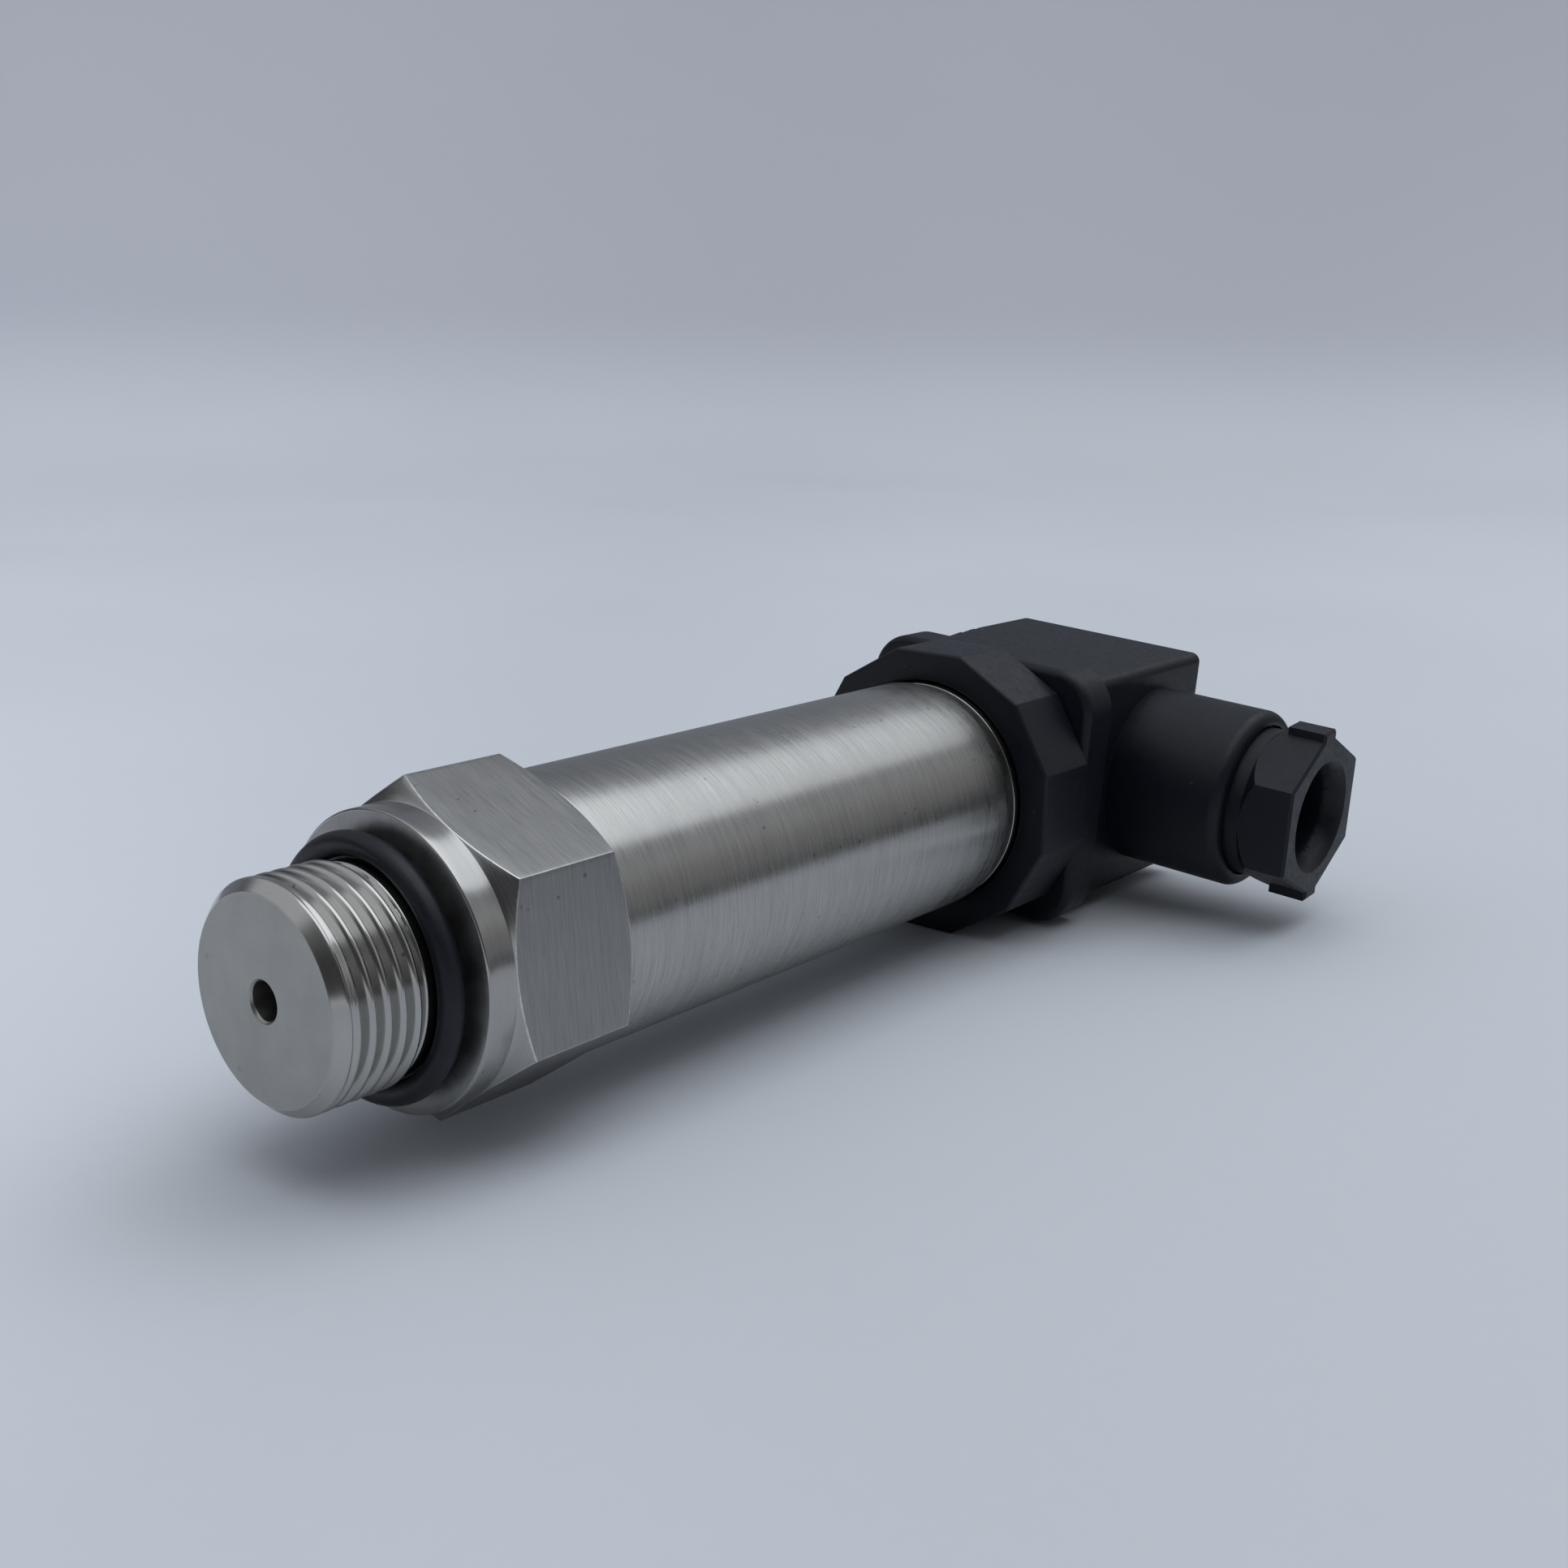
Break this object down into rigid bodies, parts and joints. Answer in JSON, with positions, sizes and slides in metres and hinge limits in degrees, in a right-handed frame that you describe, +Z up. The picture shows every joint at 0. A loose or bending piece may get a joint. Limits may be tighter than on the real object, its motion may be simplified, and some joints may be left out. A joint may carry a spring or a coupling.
{
  "type": "pressure transmitter",
  "caption": "Cylindrical stainless pressure transmitter with a threaded process connection, a hexagon, a sealing ring, a coupling nut and a square right-angle plug with a cable gland.",
  "frame": {"origin": "centre of the pressure port's mouth, at the front face of the threaded stub", "axes": "+Y back along the sensor axis towards the plug, +Z up with the part lying on a flat of its coupling nut, +X towards the cable gland, which dips 4 degrees below level"},
  "size_m": [0.054, 0.1337, 0.0336],
  "materials": {
    "brushed_steel_fitting": "turned and milled stainless steel, satin, with brighter worn edges",
    "brushed_steel_tube": "stainless tube brushed around its axis",
    "black_rubber": "black seal rubber, satin",
    "cell_steel": "fine turned stainless steel",
    "gold_pins": "gold plated",
    "green_board": "solder-masked laminate",
    "black_component": "moulded component case",
    "blue_trimmer": "moulded case",
    "capacitor_can": "drawn can",
    "wire_sleeve": "insulated lead",
    "white_carrier": "natural nylon",
    "black_moulding": "fine-textured glass-filled nylon, satin",
    "tinned_contact": "tinned brass",
    "brass_part": "turned brass",
    "zinc_screw": "zinc plated steel"
  },
  "bodies": {
    "sensor_body": {"process_fitting": "brushed_steel_fitting", "port_seal_ring": "black_rubber", "sensor_cell": "cell_steel", "cell_seal_ring": "black_rubber", "isolating_diaphragm": "cell_steel", "cell_retaining_ring": "cell_steel", "header_pins": "gold_pins", "housing_tube": "brushed_steel_tube", "end_collar": "brushed_steel_fitting", "front_carrier": "white_carrier", "rear_carrier": "white_carrier", "circuit_board": "green_board", "amplifier_chip": "black_component", "trim_pots": "blue_trimmer", "filter_capacitors": "capacitor_can", "signal_leads": "wire_sleeve", "base_seal": "black_rubber", "clamp_ring": "black_moulding", "connector_base": "black_moulding", "contact_blades": "tinned_contact", "earth_blade": "tinned_contact", "base_thread_insert": "brass_part", "profile_gasket": "black_rubber"},
    "coupling_nut_body": {"coupling_nut": "black_moulding"},
    "plug_body": {"connector_housing": "black_moulding", "terminal_insert": "black_moulding", "terminal_clamps": "brass_part", "terminal_screws": "zinc_screw", "screw_washer": "black_rubber", "gland_seal": "black_rubber", "thrust_ring": "white_carrier"},
    "fixing_screw_body": {"fixing_screw": "zinc_screw"},
    "gland_nut_body": {"gland_nut": "black_moulding"}
  },
  "joints": [
    {"name": "coupling_nut_turn", "type": "hinge", "parent": "sensor_body", "child": "coupling_nut_body", "pos_m": [0, 0.0965, 0], "axis": [0, 1, 0], "continuous": true},
    {"name": "plug_pull", "type": "slide", "parent": "sensor_body", "child": "plug_body", "axis": [0, 1, 0], "range_m": [0, 0.015]},
    {"name": "fixing_screw_turn", "type": "hinge", "parent": "plug_body", "child": "fixing_screw_body", "pos_m": [0, 0.1237, 0], "axis": [0, 1, 0], "continuous": true},
    {"name": "gland_nut_turn", "type": "hinge", "parent": "plug_body", "child": "gland_nut_body", "pos_m": [0.03342, 0.12265, -0.00237], "axis": [0.9975, 0, -0.0706], "continuous": true}
  ]
}
